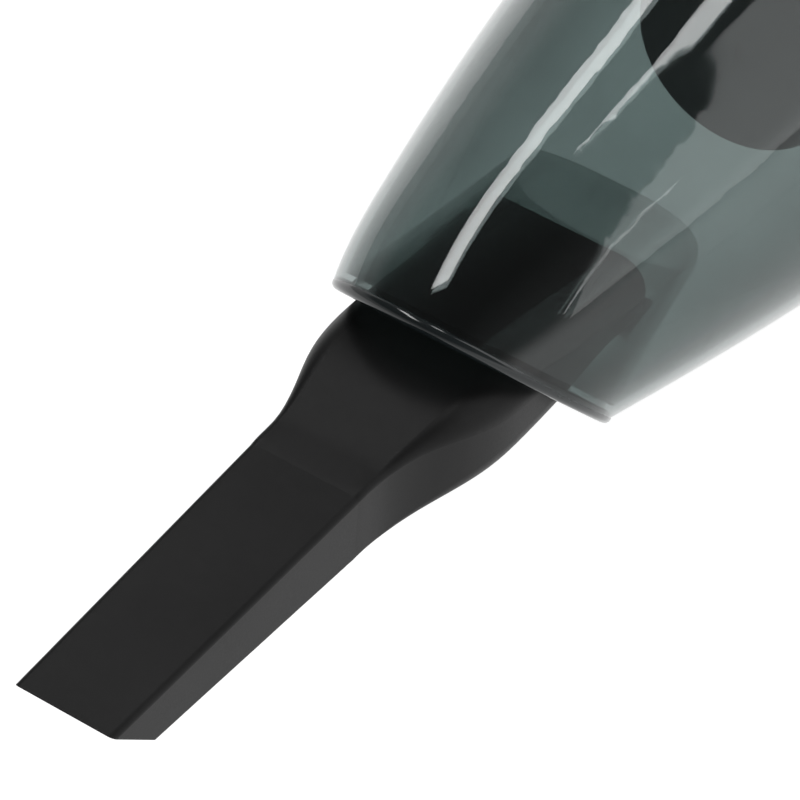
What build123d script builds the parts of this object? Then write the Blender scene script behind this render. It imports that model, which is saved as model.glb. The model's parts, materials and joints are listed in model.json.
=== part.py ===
from build123d import *
import os
from math import copysign, cos, pi, radians, sin

# Handheld vacuum, millimetres. The nozzle points to -Y, +Z is up, X = 0 is the plane of symmetry.
# Distances d run rearwards from the middle of the cup's mouth, heights h run up from the air axis.

# Layout along the body
TIP_D = -135.5          # front end of the crevice nozzle
CUP_REAR_D = 158.0      # rear edge of the dust cup
BODY_REAR_D = 312.0     # rear face of the exhaust grille
AIR_Z = 63.5            # air axis above the floor: filter, fan and motor turn about it
SHELL_H = -6.0          # the round outer shells lie this much below the air axis
MOUTH_Y = -(TIP_D + BODY_REAR_D) / 2

# Dust cup and the duct inside it
WALL = 2.0
MOUTH_D, MOUTH_H = 2.4, -14.0
MOUTH_SLANT = 43.8      # the mouth's plane leans forward at the top
MOUTH_HALF_W, MOUTH_HALF_H = 30.3, 38.2
LIP = 3.0               # depth of the solid lip around the mouth
COLLAR_D = 146.0        # the cup is a plain tube behind this
SHELL_R = 54.5
DUCT_END_D = 51.8
DUCT_W, DUCT_T, DUCT_WALL = 46.5, 19.0, 1.8
DUCT_H = -10.1

# Crevice nozzle
NOZZLE_WALL = 1.8
NECK_D = -58.0          # the straight taper ends here and the flare begins
STUB_END_D = 35.0
TIP_CUT = 13.9          # how far the lower lip is cut back

# Filter
FILTER_FRONT_D = 103.2
FILTER_R = 24.8
SKIRT_END_D = 121.0
PLEAT_END_D = 147.0
PLEATS = 40

# Body shell and handle
SHELL_WALL = 2.5
RING_D, BODY_D = 158.6, 163.0
GRILLE_D = 310.0
GRIP_H = 90.0
GRIP_FRONT_D, GRIP_REAR_D = 186.0, 294.0
GRIP_W, GRIP_T, GRIP_CORNER = 30.0, 22.0, 9.5
GRIP_WALL = 2.5
PAD_D, PAD_L = 212.0, 60.0

# Power button, latch, light and charging socket
BUTTON_D, BUTTON_W, BUTTON_L = 221.0, 12.0, 22.0
BUTTON_TOP_H, SWITCH_TOP_H = 102.6, 91.5
PIVOT_D, PIVOT_H, PIVOT_R = 168.0, 52.0, 1.5
LEVER_W = 16.0
WELL_D, WELL_FLOOR_H = 176.0, 41.0
LENS_D, LENS_R = 241.0, 2.5
JACK_D, JACK_R = 282.0, 5.5

# Fan and motor
SHROUD_D, SHROUD_R = 159.0, 38.0
FAN_R, BLADES = 33.0, 9
MOUNT_D = 186.0
MOTOR_D, MOTOR_L, MOTOR_R = 189.0, 46.0, 19.0
SHAFT_R = 2.0

# Battery and board
CELL_R, CELL_L, CELL_D = 9.1, 65.0, 196.0
CELLS, CELL_RING_R, CELL_STEP = 4, 39.0, 27.6
TRAY_R = 49.4
BOARD_D, BOARD_L, BOARD_W, BOARD_H = 200.0, 50.0, 44.0, 34.0

# Case screws: distance, height and half length of each moulded post
POSTS = ((182, -43.5, 33), (286, -38, 34), (286, 26, 34), (262, 90, 13.7))
HEAD_X = 5.0
RUNNER_D, RUNNER_L, RUNNER_X, RUNNER_W = 226.0, 112.0, 20.0, 10.0
PLUG_D, PLUG_R = (186, 266), 2.5

os.makedirs("parts", exist_ok=True)

AIR_AXIS = Axis((0, 0, AIR_Z), (0, 1, 0))
SHELL_AXIS = Axis((0, 0, AIR_Z + SHELL_H), (0, 1, 0))


def section(d, h=0.0):
    """Plane across the body at distance d, centred h above the air axis, facing rearwards."""
    return Plane(origin=(0, MOUTH_Y + d, AIR_Z + h), x_dir=(-1, 0, 0), z_dir=(0, 1, 0))


def side(h=0.0):
    """Lengthwise plane X = 0: its x is the distance d and its y is measured from height h."""
    return Plane(origin=(0, MOUTH_Y, AIR_Z + h), x_dir=(0, 1, 0), z_dir=(1, 0, 0))


def spot(x, d, h):
    return (x, MOUTH_Y + d, AIR_Z + h)


def mouth_plane(inward=0.0):
    tilt = radians(MOUTH_SLANT)
    return Plane(
        origin=spot(0, MOUTH_D + inward * cos(tilt), MOUTH_H + inward * sin(tilt)),
        x_dir=(-1, 0, 0),
        z_dir=(0, cos(tilt), sin(tilt)),
    )


def oval(plane, half_w, half_h, power=2.0, count=32):
    """Superellipse face on the given plane."""
    points = []
    for i in range(count):
        c, s = cos(2 * pi * i / count), sin(2 * pi * i / count)
        c, s = round(c, 12), round(s, 12)
        x, y = half_w * abs(c) ** (2 / power), half_h * abs(s) ** (2 / power)
        points.append((copysign(x, c), copysign(y, s)))
    with BuildSketch(plane) as profile:
        with BuildLine():
            Spline(*points, periodic=True)
        make_face()
    return profile.sketch


def cup_radius(d):
    """Half width of the cup's skin: a gently bowed cone whose nose rounds in ahead of the mouth's middle."""
    behind, nose = COLLAR_D - d, max(0.0, 4.0 - d)
    return SHELL_R - behind * (0.081 + 0.000555 * behind) - 0.0055 * nose**2


def cup_sections(wall):
    """Profiles of the cup's skin, or of its cavity when wall is not zero, at equal steps up to the collar."""
    profiles = []
    for step in range(13, -1, -1):
        radius = cup_radius(COLLAR_D - 14 * step)
        flatness = 1 - 0.05 * min(1.0, step / 7.5) ** 2
        plane = section(COLLAR_D - 14 * step, SHELL_H)
        profiles.append(oval(plane, radius - wall, flatness * radius - wall))
    return profiles


def flat_section(d, width, thick, corner, grow=0.0, h=DUCT_H):
    with BuildSketch(section(d, h)) as profile:
        RectangleRounded(width + 2 * grow, thick + 2 * grow, max(corner + grow, 0.3))
    return profile.sketch


def flare_sections(grow=0.0):
    """Nozzle profiles from the neck to the end of the plug-in stub."""
    return [
        flat_section(NECK_D, 25.8, 17.3, 1.2, grow),
        flat_section(-50, 26.4, 17.9, 1.4, grow),
        flat_section(-40, 30.6, 19.6, 2.6, grow, -9.4),
        flat_section(-30, 37.6, 21.4, 5.0, grow, -8.8),
        flat_section(-20, 42.2, 22.4, 7.0, grow, -9.2),
        flat_section(-9, 43.2, 22.2, 7.6, grow, -9.6),
        flat_section(2, 42.9, 20.8, 7.5, grow),
        flat_section(13, 42.6, 19.0, 7.4, grow),
        flat_section(24, 42.2, 17.1, 7.0, grow),
        flat_section(STUB_END_D, 41.8, 15.2, 6.6, grow),
    ]


def shell_profile(inset):
    """Lengthwise outline of the barrel about its own axis, set inwards by the given amount."""
    with BuildSketch(side(SHELL_H)) as profile:
        with BuildLine():
            rim = Spline((BODY_D, SHELL_R - inset), (220, SHELL_R - inset), (262, 52.9 - inset),
                         (294, 49.4 - inset), (GRILLE_D, 45.6 - inset), tangents=((1, 0), (1, -0.32)))
            Polyline(rim @ 0, (BODY_D, 0), (GRILLE_D, 0), rim @ 1)
        make_face()
    return profile.sketch


def handle_tube(width, thick, corner, mode=Mode.ADD):
    """Loop of the handle, swept from inside the barrel's front over the top and back down."""
    with BuildLine(side()) as path:
        FilletPolyline((199, 32), (GRIP_FRONT_D, GRIP_H), (GRIP_REAR_D, GRIP_H), (297, 30), radius=20)
    with BuildSketch(Plane(origin=path.line @ 0, x_dir=(1, 0, 0), z_dir=path.line % 0)) as profile:
        RectangleRounded(width, thick, corner)
    sweep(profile.sketch, path=path.line, mode=mode)


def pad_profile(outer):
    """Grip pad's cross-section: the lower wrap of a rounded tube."""
    with BuildSketch(section(PAD_D, GRIP_H)) as profile:
        RectangleRounded(GRIP_W + 2 * outer, GRIP_T + 2 * outer, GRIP_CORNER + outer)
        RectangleRounded(GRIP_W - 1.4, GRIP_T - 1.4, GRIP_CORNER - 0.7, mode=Mode.SUBTRACT)
        with Locations((0, 14)):
            Rectangle(40, 20, mode=Mode.SUBTRACT)
    return profile.sketch


def spring(radius, wire, turns, low, high, d):
    """Compression spring standing on height low and reaching height high."""
    height = high - low - wire
    with BuildLine(Plane(origin=spot(0, d, low + wire / 2))) as coil:
        Helix(pitch=height / turns, height=height, radius=radius)
    with BuildSketch(Plane(origin=coil.line @ 0, z_dir=coil.line % 0)) as profile:
        Circle(wire / 2)
    sweep(profile.sketch, path=coil.line, is_frenet=True)


# ------------------------------------------------------------------ crevice nozzle
with BuildPart() as crevice_nozzle:
    loft([flat_section(TIP_D, 23.0, 11.9, 1.2), flat_section(NECK_D, 25.8, 17.3, 1.2)], ruled=True)
    loft(flare_sections())
    tip_bore = flat_section(TIP_D, 23.0, 11.9, 1.2, -NOZZLE_WALL)
    neck_bore = flat_section(NECK_D, 25.8, 17.3, 1.2, -NOZZLE_WALL)
    loft([tip_bore, neck_bore], ruled=True, mode=Mode.SUBTRACT)
    loft(flare_sections(-NOZZLE_WALL), mode=Mode.SUBTRACT)
    with BuildSketch(side(DUCT_H)):
        with BuildLine():
            Polyline((TIP_D, 5.95), (TIP_D + TIP_CUT, -5.95), (TIP_D + TIP_CUT, -9), (TIP_D - 4, -9),
                     (TIP_D - 4, 5.95), close=True)
        make_face()
    extrude(amount=20, both=True, mode=Mode.SUBTRACT)
crevice_nozzle.part.label = "crevice_nozzle"
export_step(crevice_nozzle.part, "parts/crevice_nozzle.step")

# ------------------------------------------------------------------ dust cup with its duct
# Air space of the duct: a funnel less its six grip ribs, plus the room the plugged-in stub needs.
with BuildPart() as duct_air:
    mouth = oval(mouth_plane(-0.6), MOUTH_HALF_W - WALL, MOUTH_HALF_H - WALL)
    throat = oval(section(DUCT_END_D + 0.6, DUCT_H), DUCT_W / 2 - DUCT_WALL, DUCT_T / 2 - DUCT_WALL, 3.0)
    loft([mouth, throat], ruled=True)
    with Locations([spot(x, 28, DUCT_H) for x in (-11, 11)]):
        Box(1.4, 12, 60, mode=Mode.SUBTRACT)
    with Locations(spot(0, 28, DUCT_H)):
        Box(80, 12, 1.4, mode=Mode.SUBTRACT)
    loft(flare_sections(0.3))

with BuildPart() as cup_cavity:
    loft(cup_sections(WALL))
    collar_bore = oval(section(COLLAR_D, SHELL_H), SHELL_R - WALL, SHELL_R - WALL)
    extrude(collar_bore, amount=CUP_REAR_D - COLLAR_D + 1)
    split(bisect_by=mouth_plane(LIP), keep=Keep.TOP)

with BuildPart() as dust_cup:
    loft(cup_sections(0.0))
    extrude(oval(section(COLLAR_D, SHELL_H), SHELL_R, SHELL_R), amount=CUP_REAR_D - COLLAR_D)
    split(bisect_by=mouth_plane(), keep=Keep.TOP)
    add(cup_cavity.part, mode=Mode.SUBTRACT)
    duct_front = oval(mouth_plane(), MOUTH_HALF_W - 0.5, MOUTH_HALF_H - 0.5)
    loft([duct_front, oval(section(DUCT_END_D, DUCT_H), DUCT_W / 2, DUCT_T / 2, 3.0)], ruled=True)
    add(duct_air.part, mode=Mode.SUBTRACT)
    with Locations(spot(0, 150.2, 48)):
        Box(LEVER_W - 2, 4.4, 8, mode=Mode.SUBTRACT)
dust_cup.part.label = "dust_cup"
export_step(dust_cup.part, "parts/dust_cup.step")

# ------------------------------------------------------------------ filter
with BuildPart() as filter_cap:
    with BuildSketch(side()):
        with BuildLine():
            Polyline((SKIRT_END_D, FILTER_R), (FILTER_FRONT_D + 1.0, FILTER_R))
            RadiusArc((FILTER_FRONT_D + 1.0, FILTER_R), (FILTER_FRONT_D, FILTER_R - 1.0), -1.0)
            Line((FILTER_FRONT_D, FILTER_R - 1.0), (FILTER_FRONT_D - 0.7, 0))
            Polyline((FILTER_FRONT_D - 0.7, 0), (FILTER_FRONT_D + 1.6, 0),
                     (FILTER_FRONT_D + 1.6, FILTER_R - 1.6), (SKIRT_END_D, FILTER_R - 1.6),
                     (SKIRT_END_D, FILTER_R))
        make_face()
    revolve(axis=AIR_AXIS)
filter_cap.part.label = "filter_cap"
export_step(filter_cap.part, "parts/filter_cap.step")

with BuildPart() as filter_media:
    with BuildSketch(section(FILTER_FRONT_D + 1.6)):
        for fold, mode in ((0.0, Mode.ADD), (1.5, Mode.SUBTRACT)):
            radii = [(FILTER_R - 1.7 if i % 2 else 17.8) - fold for i in range(2 * PLEATS)]
            with BuildLine():
                turns = [pi * i / PLEATS for i in range(2 * PLEATS)]
                Polyline(*[(r * cos(a), r * sin(a)) for a, r in zip(turns, radii)], close=True)
            make_face(mode=mode)
    extrude(amount=PLEAT_END_D - FILTER_FRONT_D - 1.6)
filter_media.part.label = "filter_media"
export_step(filter_media.part, "parts/filter_media.step")

with BuildPart() as filter_frame:
    with BuildSketch(side()):
        with Locations((PLEAT_END_D, 13.5)):
            Rectangle(3, 12.5, align=(Align.MIN, Align.MIN))
        with Locations((FILTER_FRONT_D + 4, 14.2)):
            Rectangle(44, 1.8, align=(Align.MIN, Align.MIN))
        with Locations((PLEAT_END_D + 3, 17.8)):
            Rectangle(8, 2.2, align=(Align.MIN, Align.MIN))
    revolve(axis=AIR_AXIS)
    with BuildSketch(section(FILTER_FRONT_D + 10)):
        with PolarLocations(15.2, 8):
            Rectangle(6, 8)
    extrude(amount=28, mode=Mode.SUBTRACT)
filter_frame.part.label = "filter_frame"
export_step(filter_frame.part, "parts/filter_frame.step")

with BuildPart() as filter_gasket:
    with BuildSketch(section(PLEAT_END_D + 3)):
        Circle(25.4)
        Circle(21.0, mode=Mode.SUBTRACT)
    extrude(amount=1.6)
filter_gasket.part.label = "filter_gasket"
export_step(filter_gasket.part, "parts/filter_gasket.step")

# ------------------------------------------------------------------ intake bulkhead and cup seal
with BuildPart() as intake_bulkhead:
    with BuildSketch(side(SHELL_H)):
        with Locations((148, 49.4)):
            Rectangle(20, 2.4, align=(Align.MIN, Align.MIN))
        with Locations((156, 0)):
            Rectangle(3, 50, align=(Align.MIN, Align.MIN))
        with Locations((150.5, 50.8)):
            Rectangle(3, 2, align=(Align.MIN, Align.MIN), mode=Mode.SUBTRACT)
    revolve(axis=SHELL_AXIS)
    with BuildSketch(section(PLEAT_END_D + 4.6)):
        Circle(26)
    extrude(amount=156 - PLEAT_END_D - 4)
    with BuildSketch(section(PLEAT_END_D)):
        Circle(20.3)
    extrude(amount=20, mode=Mode.SUBTRACT)
    with BuildSketch(section(158.2)):
        with GridLocations(8, 0, 5, 1):
            Rectangle(1.2, 42)
        with GridLocations(0, 8, 1, 5):
            Rectangle(42, 1.2)
        Circle(20.8, mode=Mode.INTERSECT)
    extrude(amount=0.8)
intake_bulkhead.part.label = "intake_bulkhead"
export_step(intake_bulkhead.part, "parts/intake_bulkhead.step")

with BuildPart() as cup_seal:
    with BuildSketch(side(SHELL_H)):
        with Locations((150.6, 50.8)):
            Rectangle(2.8, 1.1, align=(Align.MIN, Align.MIN))
        with Locations((152.0, 51.5)):
            Circle(0.7)
    revolve(axis=SHELL_AXIS)
cup_seal.part.label = "cup_seal"
export_step(cup_seal.part, "parts/cup_seal.step")

with BuildPart() as collar_ring:
    with BuildSketch(side(SHELL_H)):
        with Locations((RING_D, SHELL_R - 2.4)):
            Rectangle(BODY_D - RING_D, 2.9, align=(Align.MIN, Align.MIN))
        chamfer(vertices().group_by(Axis.Z)[-1], 0.5)
    revolve(axis=SHELL_AXIS)
collar_ring.part.label = "collar_ring"
export_step(collar_ring.part, "parts/collar_ring.step")

# ------------------------------------------------------------------ body shell, then its two halves
with BuildPart() as body_shell:
    revolve(shell_profile(0), axis=SHELL_AXIS)
    handle_tube(GRIP_W, GRIP_T, GRIP_CORNER)
    revolve(shell_profile(SHELL_WALL), axis=SHELL_AXIS, mode=Mode.SUBTRACT)
    handle_tube(GRIP_W - 2 * GRIP_WALL, GRIP_T - 2 * GRIP_WALL, GRIP_CORNER - GRIP_WALL, Mode.SUBTRACT)
    # latch lugs and the spring well between them
    with Locations([spot(x, PIVOT_D, 50) for x in (-11, 11)]):
        Box(4, 8, 10)
    with Locations(spot(0, WELL_D, 44)):
        Cylinder(5, 8.6)
    # ledges for the board
    for d in (BOARD_D + 3, BOARD_D + BOARD_L - 3):
        with Locations(spot(-27.8, d, BOARD_H - 1.25), spot(27.8, d, BOARD_H - 1.25)):
            Box(15.4, 5, 2.5)
    # screw posts
    for d, h, half in POSTS:
        with Locations(spot(0, d, h)):
            Cylinder(4.6, 2 * half, rotation=(0, 90, 0))
    # holes and recesses
    with Locations(spot(0, WELL_D, 52)):
        Cylinder(3.4, 2 * (52 - WELL_FLOOR_H), mode=Mode.SUBTRACT)
    with Locations(spot(0, PIVOT_D, PIVOT_H)):
        Cylinder(PIVOT_R, 30, rotation=(0, 90, 0), mode=Mode.SUBTRACT)
    for d, h, half in POSTS:
        with Locations(spot(HEAD_X + 25, d, h)):
            Cylinder(3.4, 50, rotation=(0, 90, 0), mode=Mode.SUBTRACT)
        with Locations(spot(0, d, h)):
            Cylinder(1.4, 20, rotation=(0, 90, 0), mode=Mode.SUBTRACT)
    with Locations(spot(0, BUTTON_D, 99)):
        Box(BUTTON_W + 0.6, BUTTON_L + 0.6, 10, mode=Mode.SUBTRACT)
    with Locations(spot(0, LENS_D, 100)):
        Cylinder(LENS_R, 8, mode=Mode.SUBTRACT)
    with Locations(spot(50, JACK_D, SHELL_H)):
        Cylinder(JACK_R, 20, rotation=(0, 90, 0), mode=Mode.SUBTRACT)
    with Locations(spot(50.4, JACK_D, SHELL_H)):
        Cylinder(JACK_R + 1.5, 8, rotation=(0, 90, 0), align=(Align.CENTER, Align.CENTER, Align.MIN),
                 mode=Mode.SUBTRACT)
    with Locations([spot(x, d, -54) for d in PLUG_D for x in (-RUNNER_X, RUNNER_X)]):
        Cylinder(PLUG_R, 12, mode=Mode.SUBTRACT)
    extrude(pad_profile(2.0), amount=PAD_L, mode=Mode.SUBTRACT)

with BuildPart() as housing_left:
    add(body_shell.part)
    split(bisect_by=Plane.YZ, keep=Keep.BOTTOM)
housing_left.part.label = "housing_left"
export_step(housing_left.part, "parts/housing_left.step")

with BuildPart() as housing_right:
    add(body_shell.part)
    split(bisect_by=Plane.YZ, keep=Keep.TOP)
housing_right.part.label = "housing_right"
export_step(housing_right.part, "parts/housing_right.step")

with BuildPart() as grip_pad:
    extrude(pad_profile(0.6), amount=PAD_L)
grip_pad.part.label = "grip_pad"
export_step(grip_pad.part, "parts/grip_pad.step")

with BuildPart() as housing_screws:
    for d, h, half in POSTS:
        with Locations(spot(-1.6, d, h)):
            Cylinder(1.4, 2 * (HEAD_X + 1.6), rotation=(0, 90, 0))
        with Locations(spot(HEAD_X + 1.2, d, h)):
            Cylinder(3.0, 2.4, rotation=(0, 90, 0))
        with Locations(spot(HEAD_X + 2.4, d, h)):
            Box(1.6, 3.6, 0.8, mode=Mode.SUBTRACT)
            Box(1.6, 0.8, 3.6, mode=Mode.SUBTRACT)
housing_screws.part.label = "housing_screws"
export_step(housing_screws.part, "parts/housing_screws.step")

with BuildPart() as rubber_feet:
    with BuildSketch(Plane(origin=spot(0, RUNNER_D, -AIR_Z))):
        with Locations((-RUNNER_X, 0), (RUNNER_X, 0)):
            SlotOverall(RUNNER_L, RUNNER_W, rotation=90)
    extrude(amount=16)
    chamfer(faces().group_by(Axis.Z)[0].edges(), 0.8)
    revolve(shell_profile(0), axis=SHELL_AXIS, mode=Mode.SUBTRACT)
    with Locations([spot(x, d, -53) for d in PLUG_D for x in (-RUNNER_X, RUNNER_X)]):
        Cylinder(PLUG_R, 10)
rubber_feet.part.label = "rubber_feet"
export_step(rubber_feet.part, "parts/rubber_feet.step")

# ------------------------------------------------------------------ exhaust
with BuildPart() as rear_grille:
    with BuildSketch(side(SHELL_H)):
        with BuildLine():
            Polyline((GRILLE_D - 4, 0), (GRILLE_D - 4, 41.8), (GRILLE_D, 41.8), (GRILLE_D, 45.4),
                     (GRILLE_D + 0.8, 45.0), (BODY_REAR_D, 42), (BODY_REAR_D, 0), close=True)
        make_face()
    revolve(axis=SHELL_AXIS)
    with BuildSketch(section(GRILLE_D - 6, SHELL_H)):
        Circle(36)
        with GridLocations(0, 6, 1, 13):
            Rectangle(90, 2.6, mode=Mode.SUBTRACT)
        Rectangle(4, 90, mode=Mode.SUBTRACT)
    extrude(amount=20, mode=Mode.SUBTRACT)
rear_grille.part.label = "rear_grille"
export_step(rear_grille.part, "parts/rear_grille.step")

with BuildPart() as exhaust_foam:
    with BuildSketch(section(GRILLE_D - 9.5, SHELL_H)):
        Circle(41)
    extrude(amount=5.5)
exhaust_foam.part.label = "exhaust_foam"
export_step(exhaust_foam.part, "parts/exhaust_foam.step")

# ------------------------------------------------------------------ power button
with BuildPart() as power_button:
    with Locations(spot(0, BUTTON_D, 96.5)):
        Box(BUTTON_W, BUTTON_L, BUTTON_TOP_H - 96.5, align=(Align.CENTER, Align.CENTER, Align.MIN))
    fillet(edges().filter_by(Axis.Z), 2.5)
    fillet(edges().group_by(Axis.Z)[-1], 1.2)
    with Locations(spot(0, BUTTON_D, 96.5)):
        Box(BUTTON_W + 2, BUTTON_L + 4, 1.4, align=(Align.CENTER, Align.CENTER, Align.MIN))
    with Locations(spot(0, BUTTON_D, 95.4)):
        Cylinder(2.0, 2.2)
    with BuildSketch(Plane(origin=spot(0, BUTTON_D, BUTTON_TOP_H))):
        with GridLocations(0, 3, 1, 5):
            SlotOverall(7, 1.0)
    extrude(amount=-0.4, mode=Mode.SUBTRACT)
power_button.part.label = "power_button"
export_step(power_button.part, "parts/power_button.step")

with BuildPart() as button_spring:
    spring(3.4, 0.6, 3, SWITCH_TOP_H, 96.5, BUTTON_D)
button_spring.part.label = "button_spring"
export_step(button_spring.part, "parts/button_spring.step")

with BuildPart() as micro_switch:
    with Locations(spot(0, BUTTON_D, SWITCH_TOP_H)):
        Box(8, 20, SWITCH_TOP_H - 81.5, align=(Align.CENTER, Align.CENTER, Align.MAX))
    chamfer(edges().filter_by(Axis.Z), 0.6)
    with Locations(spot(0, BUTTON_D, SWITCH_TOP_H + 0.4)):
        Box(2.4, 3.2, 0.8)
micro_switch.part.label = "micro_switch"
export_step(micro_switch.part, "parts/micro_switch.step")

with BuildPart() as indicator_lens:
    with Locations(spot(0, LENS_D, 99.4)):
        Cylinder(LENS_R, 4.0)
    fillet(edges().group_by(Axis.Z)[-1], 0.6)
indicator_lens.part.label = "indicator_lens"
export_step(indicator_lens.part, "parts/indicator_lens.step")

# ------------------------------------------------------------------ cup latch
with BuildPart() as latch_lever:
    with BuildSketch(side()):
        with BuildLine():
            Polyline((148.6, 48.9), (151.8, 48.9), (152.2, 50.0), (163.5, 50.0), (166.5, 49.6),
                     (169.5, 49.6), (172, 50.8), (179.5, 51.2), (180.0, 53.4), (172, 55.4), (164, 55.0),
                     (148.6, 52.6), close=True)
        make_face()
    extrude(amount=LEVER_W / 2, both=True)
    fillet(edges().filter_by(Axis.X).group_by(Axis.Z)[-1], 1.5)
    with Locations(spot(0, PIVOT_D, PIVOT_H)):
        Cylinder(PIVOT_R + 0.06, 30, rotation=(0, 90, 0), mode=Mode.SUBTRACT)
    with BuildSketch(Plane(origin=spot(0, 176.5, 60))):
        with GridLocations(0, 1.8, 1, 3):
            SlotOverall(12, 0.7)
    extrude(amount=-6.2, mode=Mode.SUBTRACT)
latch_lever.part.label = "latch_lever"
export_step(latch_lever.part, "parts/latch_lever.step")

with BuildPart() as latch_pin:
    with Locations(spot(0, PIVOT_D, PIVOT_H)):
        Cylinder(PIVOT_R, 26, rotation=(0, 90, 0))
    chamfer(edges(), 0.2)
latch_pin.part.label = "latch_pin"
export_step(latch_pin.part, "parts/latch_pin.step")

with BuildPart() as latch_spring:
    spring(2.6, 0.6, 5, WELL_FLOOR_H, 50.9, WELL_D)
latch_spring.part.label = "latch_spring"
export_step(latch_spring.part, "parts/latch_spring.step")

# ------------------------------------------------------------------ fan
with BuildPart() as fan_shroud:
    with BuildSketch(side()):
        with Locations((SHROUD_D, 17)):
            Rectangle(2, SHROUD_R - 17, align=(Align.MIN, Align.MIN))
        with Locations((SHROUD_D, SHROUD_R - 1.6)):
            Rectangle(MOUNT_D + 3 - SHROUD_D, 1.6, align=(Align.MIN, Align.MIN))
    revolve(axis=AIR_AXIS)
    with BuildSketch(section(178)):
        with PolarLocations(SHROUD_R - 1, 10):
            Rectangle(6, 12)
    extrude(amount=7, mode=Mode.SUBTRACT)
fan_shroud.part.label = "fan_shroud"
export_step(fan_shroud.part, "parts/fan_shroud.step")

with BuildPart() as impeller:
    with BuildSketch(section(175.6)):
        Circle(FAN_R)
    extrude(amount=1.6)
    with BuildSketch(side()):
        with BuildLine():
            Polyline((163.2, 16), (162.0, 16), (162.0, 15), (163.2, 14.6), (165.4, 20), (167.4, FAN_R),
                     (166.2, FAN_R), (164.4, 20.4), close=True)
        make_face()
    revolve(axis=AIR_AXIS)
    with BuildSketch(section(166.4)):
        with PolarLocations(0, BLADES):
            SlotArc(Edge.make_three_point_arc((9.5, 0), (21, 5.5), (28.5, 15)), 1.2)
    extrude(amount=9.6)
    with BuildSketch(section(166.4)):
        Circle(7)
    extrude(amount=12)
    with BuildSketch(section(160)):
        Circle(4)
    extrude(amount=30, mode=Mode.SUBTRACT)
impeller.part.label = "impeller"
export_step(impeller.part, "parts/impeller.step")

with BuildPart() as impeller_bush:
    with BuildSketch(section(166.4)):
        Circle(4)
        Circle(SHAFT_R, mode=Mode.SUBTRACT)
    extrude(amount=14)
impeller_bush.part.label = "impeller_bush"
export_step(impeller_bush.part, "parts/impeller_bush.step")

# ------------------------------------------------------------------ motor
with BuildPart() as motor_mount:
    with BuildSketch(section(MOUNT_D)):
        Circle(SHROUD_R - 1.6)
        Circle(6.2, mode=Mode.SUBTRACT)
        with PolarLocations(27.5, 10):
            SlotOverall(11, 6, mode=Mode.SUBTRACT)
        with PolarLocations(12.5, 2):
            Circle(1.6, mode=Mode.SUBTRACT)
    extrude(amount=MOTOR_D - MOUNT_D)
motor_mount.part.label = "motor_mount"
export_step(motor_mount.part, "parts/motor_mount.step")

with BuildPart() as motor_screws:
    for x in (-12.5, 12.5):
        with Locations(spot(x, MOUNT_D + 2.6, 0)):
            Cylinder(1.5, 5.2, rotation=(90, 0, 0))
        with Locations(spot(x, MOUNT_D - 0.9, 0)):
            Cylinder(2.8, 1.8, rotation=(90, 0, 0))
motor_screws.part.label = "motor_screws"
export_step(motor_screws.part, "parts/motor_screws.step")

with BuildPart() as motor_can:
    with BuildSketch(side()):
        with Locations((MOTOR_D, 5)):
            Rectangle(1.4, MOTOR_R - 5, align=(Align.MIN, Align.MIN))
        with Locations((MOTOR_D, MOTOR_R - 1.2)):
            Rectangle(MOTOR_L, 1.2, align=(Align.MIN, Align.MIN))
    revolve(axis=AIR_AXIS)
    with Locations([spot(x, MOTOR_D, 0) for x in (-12.5, 12.5)]):
        Cylinder(1.5, 8, rotation=(90, 0, 0), mode=Mode.SUBTRACT)
motor_can.part.label = "motor_can"
export_step(motor_can.part, "parts/motor_can.step")

with BuildPart() as motor_magnets:
    with BuildSketch(section(MOTOR_D + 7)):
        Circle(MOTOR_R - 1.2)
        Circle(14.6, mode=Mode.SUBTRACT)
        Rectangle(8, 60, mode=Mode.SUBTRACT)
    extrude(amount=30)
motor_magnets.part.label = "motor_magnets"
export_step(motor_magnets.part, "parts/motor_magnets.step")

with BuildPart() as motor_rotor:
    with BuildSketch(section(MOTOR_D + 10)):
        Circle(14.0)
        with PolarLocations(11.4, 12):
            Circle(1.9, mode=Mode.SUBTRACT)
        with PolarLocations(13.4, 12):
            Rectangle(3, 1.2, mode=Mode.SUBTRACT)
        Circle(SHAFT_R, mode=Mode.SUBTRACT)
    extrude(amount=24)
motor_rotor.part.label = "motor_rotor"
export_step(motor_rotor.part, "parts/motor_rotor.step")

with BuildPart() as motor_windings:
    with BuildSketch(section(MOTOR_D + 6)):
        with PolarLocations(11.4, 12):
            Circle(1.8)
    extrude(amount=32)
    with BuildSketch(side()):
        for d in (MOTOR_D + 7.5, MOTOR_D + 36.5):
            with Locations((d, 9.5)):
                RectangleRounded(5, 7, 2)
    revolve(axis=AIR_AXIS)
motor_windings.part.label = "motor_windings"
export_step(motor_windings.part, "parts/motor_windings.step")

with BuildPart() as commutator:
    with BuildSketch(section(MOTOR_D + 40)):
        Circle(4.4)
        with PolarLocations(4.4, 12):
            Rectangle(0.8, 0.5, mode=Mode.SUBTRACT)
        Circle(SHAFT_R, mode=Mode.SUBTRACT)
    extrude(amount=8)
commutator.part.label = "commutator"
export_step(commutator.part, "parts/commutator.step")

with BuildPart() as motor_shaft:
    with BuildSketch(section(164)):
        Circle(SHAFT_R)
    extrude(amount=92)
    chamfer(edges(), 0.3)
motor_shaft.part.label = "motor_shaft"
export_step(motor_shaft.part, "parts/motor_shaft.step")

with BuildPart() as front_bearing:
    with BuildSketch(section(MOTOR_D - 3)):
        Circle(5)
        Circle(SHAFT_R + 0.04, mode=Mode.SUBTRACT)
    extrude(amount=5)
front_bearing.part.label = "front_bearing"
export_step(front_bearing.part, "parts/front_bearing.step")

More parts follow.
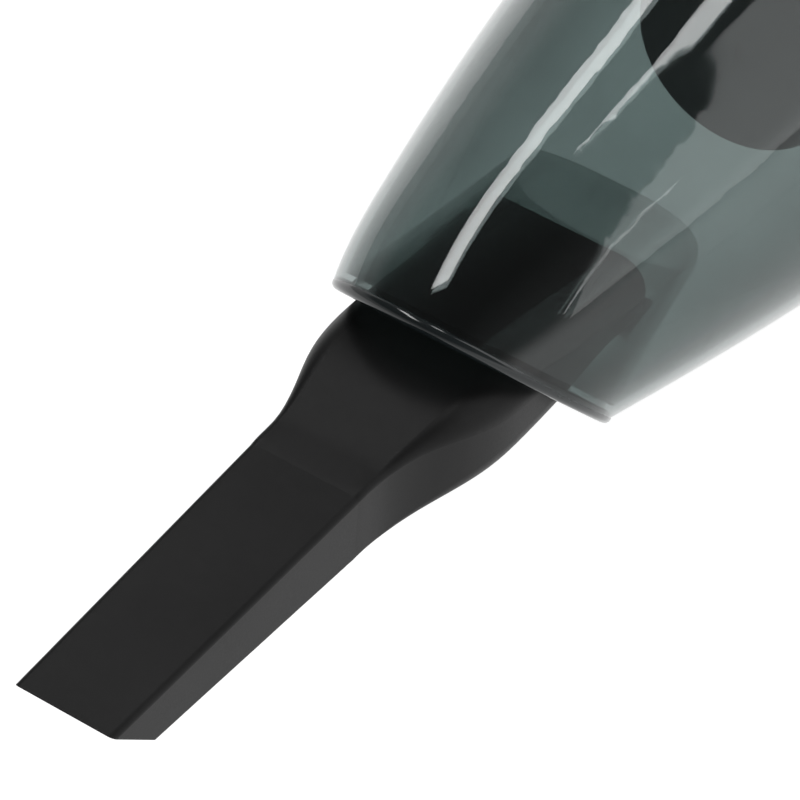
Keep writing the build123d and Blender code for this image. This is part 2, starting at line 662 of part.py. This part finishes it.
with BuildPart() as rear_bearing:
    with BuildSketch(section(MOTOR_D + MOTOR_L + 5)):
        Circle(5)
        Circle(SHAFT_R + 0.04, mode=Mode.SUBTRACT)
    extrude(amount=5)
rear_bearing.part.label = "rear_bearing"
export_step(rear_bearing.part, "parts/rear_bearing.step")

with BuildPart() as carbon_brushes:
    with Locations([spot(x, MOTOR_D + 43, 0) for x in (-8.4, 8.4)]):
        Box(7, 5, 3)
carbon_brushes.part.label = "carbon_brushes"
export_step(carbon_brushes.part, "parts/carbon_brushes.step")

with BuildPart() as motor_endcap:
    with BuildSketch(side()):
        with Locations((MOTOR_D + MOTOR_L, 5)):
            Rectangle(3, MOTOR_R - 5, align=(Align.MIN, Align.MIN))
        with Locations((MOTOR_D + MOTOR_L + 3, 5)):
            Rectangle(7, 3, align=(Align.MIN, Align.MIN))
    revolve(axis=AIR_AXIS)
    with Locations([spot(x, MOTOR_D + MOTOR_L + 0.2, 0) for x in (-10.4, 10.4)]):
        Box(6, 9.6, 6.6)
    with Locations([spot(x, MOTOR_D + 43, 0) for x in (-8.4, 8.4)]):
        Box(7, 5, 3, mode=Mode.SUBTRACT)
    with BuildSketch(section(MOTOR_D + MOTOR_L - 6)):
        Circle(4.9)
    extrude(amount=11, mode=Mode.SUBTRACT)
motor_endcap.part.label = "motor_endcap"
export_step(motor_endcap.part, "parts/motor_endcap.step")

# ------------------------------------------------------------------ battery
CELL_ANGLES = [-90 + CELL_STEP * (i - (CELLS - 1) / 2) for i in range(CELLS)]


def ring_spot(radius, angle):
    return (radius * cos(radians(angle)), radius * sin(radians(angle)))


with BuildPart() as battery_cells:
    for angle in CELL_ANGLES:
        with BuildSketch(section(CELL_D, SHELL_H)):
            with Locations(ring_spot(CELL_RING_R, angle)):
                Circle(CELL_R)
        extrude(amount=CELL_L)
battery_cells.part.label = "battery_cells"
export_step(battery_cells.part, "parts/battery_cells.step")

with BuildPart() as battery_tray:
    front, rear = CELL_D - 2.4, CELL_D + CELL_L + 0.4
    for start, length, inner in ((front, CELL_L + 4.8, 48.2), (front, 2, 31), (rear, 2, 31)):
        with BuildSketch(section(start, SHELL_H)):
            Circle(TRAY_R)
            Circle(inner, mode=Mode.SUBTRACT)
            with BuildLine():
                Polyline((0, 0), ring_spot(90, -90 - 56), (0, -120), ring_spot(90, -90 + 56), close=True)
            make_face(mode=Mode.INTERSECT)
        extrude(amount=length)
battery_tray.part.label = "battery_tray"
export_step(battery_tray.part, "parts/battery_tray.step")

with BuildPart() as battery_straps:
    for start, pairs in ((CELL_D - 0.4, (0, 2)), (CELL_D + CELL_L, (1,))):
        with BuildSketch(section(start, SHELL_H)):
            for i in pairs:
                middle = (CELL_ANGLES[i] + CELL_ANGLES[i + 1]) / 2
                x, y = ring_spot(CELL_RING_R * cos(radians(CELL_STEP / 2)), middle)
                with Locations(Location((x, y, 0), middle + 90)):
                    SlotOverall(26, 7)
        extrude(amount=0.4)
battery_straps.part.label = "battery_straps"
export_step(battery_straps.part, "parts/battery_straps.step")

# ------------------------------------------------------------------ electronics
with BuildPart() as control_board:
    with Locations(spot(0, BOARD_D + BOARD_L / 2, BOARD_H)):
        Box(BOARD_W, BOARD_L, 1.6, align=(Align.CENTER, Align.CENTER, Align.MIN))
control_board.part.label = "control_board"
export_step(control_board.part, "parts/control_board.step")

with BuildPart() as board_parts:
    top = BOARD_H + 1.6
    with Locations(spot(-8, BOARD_D + 12, top)):
        Box(7, 7, 1.4, align=(Align.CENTER, Align.CENTER, Align.MIN))
    with Locations(spot(10, BOARD_D + 14, top)):
        Cylinder(4, 7, align=(Align.CENTER, Align.CENTER, Align.MIN))
    with Locations([spot(x, BOARD_D + 30, top) for x in (-12, -2)]):
        Box(6, 9, 2.2, align=(Align.CENTER, Align.CENTER, Align.MIN))
    with Locations([spot(x, BOARD_D + 43, top) for x in (-12, 12)]):
        Box(12, 6, 5, align=(Align.CENTER, Align.CENTER, Align.MIN))
board_parts.part.label = "board_parts"
export_step(board_parts.part, "parts/board_parts.step")

with BuildPart() as charge_jack:
    with Locations(spot(38, JACK_D, SHELL_H)):
        Cylinder(JACK_R, 12.4, rotation=(0, 90, 0), align=(Align.CENTER, Align.CENTER, Align.MIN))
    with Locations(spot(50.4, JACK_D, SHELL_H)):
        Cylinder(JACK_R + 1.5, 1.6, rotation=(0, 90, 0), align=(Align.CENTER, Align.CENTER, Align.MIN))
    chamfer(faces().group_by(Axis.X)[-1].edges(), 0.4)
    with Locations(spot(42, JACK_D, SHELL_H)):
        Cylinder(2.9, 12, rotation=(0, 90, 0), align=(Align.CENTER, Align.CENTER, Align.MIN),
                 mode=Mode.SUBTRACT)
    with Locations(spot(41, JACK_D, SHELL_H)):
        Cylinder(1.0, 9, rotation=(0, 90, 0), align=(Align.CENTER, Align.CENTER, Align.MIN))
charge_jack.part.label = "charge_jack"
export_step(charge_jack.part, "parts/charge_jack.step")
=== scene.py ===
import bpy
import json
import math
from mathutils import Matrix, Vector

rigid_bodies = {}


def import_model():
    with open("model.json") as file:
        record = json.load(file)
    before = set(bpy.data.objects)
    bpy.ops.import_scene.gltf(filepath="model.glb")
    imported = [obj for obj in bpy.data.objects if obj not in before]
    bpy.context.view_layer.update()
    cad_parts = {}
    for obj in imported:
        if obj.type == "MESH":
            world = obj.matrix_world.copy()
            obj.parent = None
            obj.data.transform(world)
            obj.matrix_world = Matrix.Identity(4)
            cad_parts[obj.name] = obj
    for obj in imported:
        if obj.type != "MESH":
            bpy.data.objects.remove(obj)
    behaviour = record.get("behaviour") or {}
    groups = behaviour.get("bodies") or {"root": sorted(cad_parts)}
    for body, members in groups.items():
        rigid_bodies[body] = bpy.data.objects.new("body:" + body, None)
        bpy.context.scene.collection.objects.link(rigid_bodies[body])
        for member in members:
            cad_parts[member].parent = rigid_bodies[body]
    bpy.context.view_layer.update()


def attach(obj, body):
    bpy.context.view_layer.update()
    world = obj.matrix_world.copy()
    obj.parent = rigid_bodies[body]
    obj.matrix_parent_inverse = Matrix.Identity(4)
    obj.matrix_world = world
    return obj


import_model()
objects = bpy.data.objects
scene = bpy.context.scene
scene.view_settings.view_transform = "Standard"

# Air axis and mouth of the dust cup, metres
MOUTH = Vector((0.0, -0.08825, 0.0635))

# ---------------------------------------------------------------- camera
# It stands one metre from the mouth, aimed a little beside and below it
AZ, EL, ROLL = math.radians(30.84), math.radians(43.15), math.radians(4.99)
LEFTWARD, DOWNWARD = 0.01407, 0.01869
back = Vector((math.sin(AZ) * math.cos(EL), -math.cos(AZ) * math.cos(EL), math.sin(EL)))
flat_right = Vector((math.cos(AZ), math.sin(AZ), 0.0))
flat_up = back.cross(flat_right)
cam_right = flat_right * math.cos(ROLL) + flat_up * math.sin(ROLL)
cam_up = flat_up * math.cos(ROLL) - flat_right * math.sin(ROLL)

cam_data = bpy.data.cameras.new("camera")
cam_data.sensor_width = 36.0
cam_data.lens = 36.0 * 4970 / 800
cam_data.clip_start = 0.05
cam_data.clip_end = 30.0
camera = objects.new("camera", cam_data)
scene.collection.objects.link(camera)
turned = Matrix((cam_right, cam_up, back)).transposed().to_4x4()
camera.matrix_world = Matrix.Translation(MOUTH + back - cam_right * LEFTWARD - cam_up * DOWNWARD) @ turned
scene.camera = camera


# ---------------------------------------------------------------- materials
class Tree:
    """Small helper around a material's or world's node tree."""

    def __init__(self, owner):
        owner.use_nodes = True
        self.tree = owner.node_tree

    def add(self, kind, settings=None, **inputs):
        n = self.tree.nodes.new("ShaderNode" + kind)
        for key, value in (settings or {}).items():
            setattr(n, key, value)
        for key, value in inputs.items():
            name = key.replace("_", " ")
            socket = n.inputs[int(key[1:])] if key[0] == "i" and key[1:].isdigit() else n.inputs[name]
            self.put(socket, value)
        return n

    def put(self, socket, value):
        if isinstance(value, bpy.types.NodeSocket):
            self.tree.links.new(value, socket)
        elif socket.type == "RGBA" and len(value) == 3:
            socket.default_value = (*value, 1.0)
        else:
            socket.default_value = value

    def math(self, operation, a, b=0.0):
        return self.add("Math", {"operation": operation}, i0=a, i1=b).outputs[0]

    def noise(self, scale, detail=3.0, roughness=0.55, stretch=None):
        where = self.add("TexCoord").outputs["Object"]
        if stretch:
            where = self.add("Mapping", None, Vector=where, Scale=stretch).outputs[0]
        settings = {"Scale": scale, "Detail": detail, "Roughness": roughness}
        return self.add("TexNoise", None, Vector=where, **settings).outputs[0]

    def times(self, a, b):
        """Product of two colours, or of a colour and a number."""
        product = self.add("Mix", {"data_type": "RGBA", "blend_type": "MULTIPLY"}, Factor=1.0)
        self.put(product.inputs[6], a)
        self.put(product.inputs[7], self.add("CombineColor", None, Red=b, Green=b, Blue=b).outputs[0])
        return product.outputs[2]

    def remap(self, value, low, high, to_low, to_high, way="LINEAR"):
        n = self.add("MapRange", {"interpolation_type": way}, Value=value)
        for name, limit in (("From Min", low), ("From Max", high), ("To Min", to_low), ("To Max", to_high)):
            n.inputs[name].default_value = limit
        return n.outputs[0]


def surface(name, dark, light, rough, patch=60.0, grain=2600.0, bump=0.00002, stretch=None, **sockets):
    """Opaque material whose colour drifts between two shades, with a fine grain in roughness and height."""
    m = bpy.data.materials.new(name)
    t = Tree(m)
    shader = t.tree.nodes["Principled BSDF"]
    drift = t.noise(patch, 4.0, stretch=stretch)
    fine = t.noise(grain, 2.0, stretch=stretch)
    mixed = t.add("Mix", {"data_type": "RGBA"}, Factor=t.remap(drift, 0.3, 0.7, 0.0, 1.0))
    t.put(mixed.inputs[6], dark)
    t.put(mixed.inputs[7], light)
    t.put(shader.inputs["Base Color"], mixed.outputs[2])
    t.put(shader.inputs["Roughness"], t.remap(fine, 0.3, 0.7, *rough))
    height = t.add("Bump", None, Strength=1.0, Distance=bump, Height=fine)
    t.put(shader.inputs["Normal"], height.outputs[0])
    for key, value in sockets.items():
        t.put(shader.inputs[key.replace("_", " ")], value)
    return m


def wear(m, *names):
    for n in names:
        data = objects[n].data
        data.materials.clear()
        data.materials.append(m)


black = surface("black_plastic", (0.009, 0.009, 0.0092), (0.013, 0.013, 0.0132), (0.36, 0.44), 45.0, 3000.0,
                0.000012, Specular_IOR_Level=0.11)
cap_black = surface("cap_black", (0.016, 0.017, 0.018), (0.022, 0.023, 0.024), (0.34, 0.42), 60.0, 2200.0)
charcoal = surface("body_grey", (0.050, 0.053, 0.055), (0.060, 0.063, 0.065), (0.30, 0.38), 30.0, 2400.0,
                   0.000018, Coat_Weight=0.15, Coat_Roughness=0.2)
trim = surface("dark_plastic", (0.020, 0.021, 0.022), (0.030, 0.031, 0.032), (0.45, 0.55), 50.0, 1800.0,
               0.00003)
silver = surface("ring_silver", (0.42, 0.43, 0.44), (0.50, 0.51, 0.52), (0.24, 0.32), 25.0, 1500.0, 0.000008,
                 (1.0, 0.05, 1.0), Metallic=0.8)
accent = surface("button_plastic", (0.10, 0.155, 0.13), (0.12, 0.175, 0.15), (0.28, 0.36), 40.0, 2400.0)
rubber = surface("soft_rubber", (0.020, 0.020, 0.021), (0.032, 0.032, 0.033), (0.72, 0.85), 80.0, 900.0,
                 0.00008)
steel = surface("steel", (0.45, 0.45, 0.46), (0.58, 0.58, 0.57), (0.22, 0.38), 90.0, 1200.0, 0.000006,
                (1.0, 0.1, 1.0), Metallic=1.0)
bronze = surface("bronze", (0.42, 0.27, 0.11), (0.56, 0.38, 0.17), (0.35, 0.5), 200.0, 2500.0, Metallic=1.0)
copper = surface("copper", (0.45, 0.17, 0.07), (0.60, 0.25, 0.11), (0.25, 0.4), 400.0, 2500.0, Metallic=1.0)
ferrite = surface("magnet", (0.06, 0.06, 0.062), (0.09, 0.09, 0.092), (0.5, 0.7), 120.0, 1600.0, 0.00004)
white = surface("white_plastic", (0.60, 0.60, 0.57), (0.68, 0.68, 0.65), (0.35, 0.45), 40.0, 2000.0)
paper = surface("filter_paper", (0.62, 0.61, 0.56), (0.74, 0.73, 0.69), (0.85, 0.95), 150.0, 1500.0, 0.0001)
wrap = surface("cell_wrap", (0.03, 0.12, 0.30), (0.04, 0.15, 0.36), (0.18, 0.28), 60.0, 600.0, 0.00001)
board = surface("board", (0.015, 0.10, 0.045), (0.02, 0.14, 0.06), (0.25, 0.35), 300.0, 900.0, 0.00003)
foam = surface("foam", (0.015, 0.015, 0.015), (0.05, 0.05, 0.05), (0.9, 1.0), 900.0, 700.0, 0.0006)
carbon = surface("carbon", (0.025, 0.025, 0.027), (0.05, 0.05, 0.052), (0.4, 0.6), 200.0, 1500.0, 0.00003)
lens = surface("lens_clear", (0.30, 0.55, 0.38), (0.36, 0.60, 0.44), (0.08, 0.14), 60.0, 900.0, 0.000004,
               Transmission_Weight=0.6, IOR=1.49)

wear(black, "crevice_nozzle")
wear(cap_black, "filter_cap")
wear(charcoal, "housing_left", "housing_right")
wear(trim, "filter_frame", "intake_bulkhead", "rear_grille", "micro_switch", "motor_endcap", "battery_tray",
     "charge_jack")
wear(silver, "collar_ring")
wear(accent, "power_button", "latch_lever")
wear(rubber, "filter_gasket", "cup_seal", "grip_pad", "rubber_feet")
wear(steel, "housing_screws", "latch_pin", "motor_screws", "motor_can", "motor_rotor", "motor_shaft",
     "button_spring", "latch_spring", "battery_straps")
wear(bronze, "impeller_bush", "front_bearing", "rear_bearing")
wear(copper, "motor_windings", "commutator")
wear(ferrite, "motor_magnets")
wear(white, "fan_shroud", "impeller", "motor_mount")
wear(paper, "filter_media")
wear(wrap, "battery_cells")
wear(board, "control_board")
wear(foam, "exhaust_foam")
wear(carbon, "carbon_brushes", "board_parts")
wear(lens, "indicator_lens")


# The cup's skin narrows ahead of its collar, about an axis at this height
SHELL_Z, COLLAR_Y = 0.0575, 0.05775
INNER_R = 0.0545 * 0.95 - 0.0035      # just inside the skin's least radius at the collar


def smoke_plastic():
    """Tinted clear plastic seen as thin walls. The duct's walls are paler than the cup's skin."""
    m = bpy.data.materials.new("smoke_clear")
    t = Tree(m)
    t.tree.nodes.clear()
    x, y, z = t.add("SeparateXYZ", None, Vector=t.add("TexCoord").outputs["Object"]).outputs
    rise = t.math("SUBTRACT", z, SHELL_Z)
    radius = t.math("SQRT", t.math("ADD", t.math("MULTIPLY", x, x), t.math("MULTIPLY", rise, rise)))
    ahead = t.math("SUBTRACT", COLLAR_Y, y)
    fall = t.math("MULTIPLY", ahead, t.math("ADD", t.math("MULTIPLY", ahead, 0.555), 0.081))
    is_skin = t.math("GREATER_THAN", radius, t.math("SUBTRACT", INNER_R, fall))
    cloud = t.remap(t.noise(30.0, 3.0), 0.3, 0.7, 0.97, 1.03)
    tint = t.add("Mix", {"data_type": "RGBA"}, Factor=is_skin)
    t.put(tint.inputs[6], (0.80, 0.83, 0.825))
    t.put(tint.inputs[7], (0.595, 0.645, 0.64))
    facing = t.add("LayerWeight", None, Blend=0.5).outputs["Facing"]
    deeper = t.math("SUBTRACT", 1.0, t.math("MULTIPLY", t.math("POWER", facing, 2.0), 0.42))
    clear = t.add("BsdfTransparent", None, Color=t.times(t.times(tint.outputs[2], cloud), deeper))
    smudge = t.remap(t.noise(55.0, 4.0), 0.45, 0.75, 0.03, 0.08)
    ripple = t.add("Bump", None, Strength=1.0, Distance=0.00004, Height=t.noise(38.0, 0.0))
    gloss = t.add("BsdfGlossy", None, Color=(1, 1, 1), Roughness=smudge, Normal=ripple.outputs[0])
    rippled = t.add("LayerWeight", None, Blend=0.5, Normal=ripple.outputs[0]).outputs["Facing"]
    edge = t.math("ADD", t.math("MULTIPLY", t.math("POWER", rippled, 5.0), 0.96), 0.04)
    both = t.add("MixShader", None, i0=edge, i1=clear.outputs[0], i2=gloss.outputs[0])
    t.add("OutputMaterial", None, Surface=both.outputs[0])
    return m


wear(smoke_plastic(), "dust_cup")


# ---------------------------------------------------------------- rounded bead along the cup's mouth
BEAD_AT = Vector((0.0, -0.0855, 0.0497))
BEAD_HALF_W, BEAD_HALF_H, BEAD_R, BEAD_POINTS = 0.0291, 0.0370, 0.0014, 64
SLANT = math.radians(43.8)
steep = Vector((0.0, -math.sin(SLANT), math.cos(SLANT)))

curve = bpy.data.curves.new("mouth_bead", "CURVE")
curve.dimensions = "3D"
curve.bevel_depth = BEAD_R
curve.bevel_resolution = 4
curve.resolution_u = 2
line = curve.splines.new("POLY")
line.points.add(BEAD_POINTS - 1)
for i, point in enumerate(line.points):
    angle = 2 * math.pi * i / BEAD_POINTS
    across = Vector((BEAD_HALF_W * math.cos(angle), 0.0, 0.0))
    point.co = (*(BEAD_AT + across + steep * BEAD_HALF_H * math.sin(angle)), 1.0)
line.use_cyclic_u = True
line.use_smooth = True
curve.materials.append(
    surface("bead_smoke", (0.010, 0.014, 0.015), (0.016, 0.021, 0.022), (0.08, 0.14), 40.0, 900.0, 0.000004)
)
bead = objects.new("mouth_bead", curve)
scene.collection.objects.link(bead)
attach(bead, "cup")


# ---------------------------------------------------------------- floor, world and lights
PANEL_Z = 1.25


def panel(name, place, size, radiance, turn=0.0):
    """Level soft box facing down: its middle and size in metres, its brightness and its turn in degrees."""
    data = bpy.data.lights.new(name, "AREA")
    data.shape = "RECTANGLE"
    data.size, data.size_y = size
    data.energy = radiance * math.pi * size[0] * size[1]
    light = objects.new(name, data)
    scene.collection.objects.link(light)
    light.matrix_world = Matrix.Translation((*place, PANEL_Z)) @ Matrix.Rotation(math.radians(turn), 4, "Z")


FLOOR_HALF = 8.0
floor_mesh = bpy.data.meshes.new("floor")
corners = [(x * FLOOR_HALF, y * FLOOR_HALF, 0.0) for x, y in ((-1, -1), (1, -1), (1, 1), (-1, 1))]
floor_mesh.from_pydata(corners, [], [(0, 1, 2, 3)])
floor = objects.new("floor", floor_mesh)
scene.collection.objects.link(floor)
floor_mesh.materials.append(
    surface("pale_floor", (0.34, 0.34, 0.34), (0.37, 0.37, 0.37), (0.8, 0.9), 3.0, 200.0,
            Emission_Color=(1, 1, 1), Emission_Strength=0.94)
)

# The studio is bright round the horizon, more so on the right, and dark overhead
world = bpy.data.worlds.new("studio")
w = Tree(world)
sky = w.tree.nodes["Background"]
aside, _, upward = w.add("SeparateXYZ", None, Vector=w.add("TexCoord").outputs["Generated"]).outputs
horizon = w.remap(upward, 0.22, 0.50, 0.55, 0.09, "SMOOTHSTEP")
gain = w.remap(aside, 0.3, 0.9, 1.0, 2.4, "SMOOTHSTEP")
w.put(sky.inputs["Strength"], w.math("MULTIPLY", horizon, gain))
sky.inputs["Color"].default_value = (1, 1, 1, 1)
scene.world = world

# Two narrow overhead strips and a thin one give the clear streaks, and the wide panel the haze on the right
panel("strip_left", (-0.60, 0.34), (0.18, 1.20), 8.5, 24)
panel("strip_top", (-0.10, 0.62), (0.18, 0.46), 7.0, 20)
panel("strip_right", (1.75, 0.42), (1.1, 0.035), 4.0, -12)
panel("soft_right", (1.60, 1.30), (2.8, 1.7), 1.5)
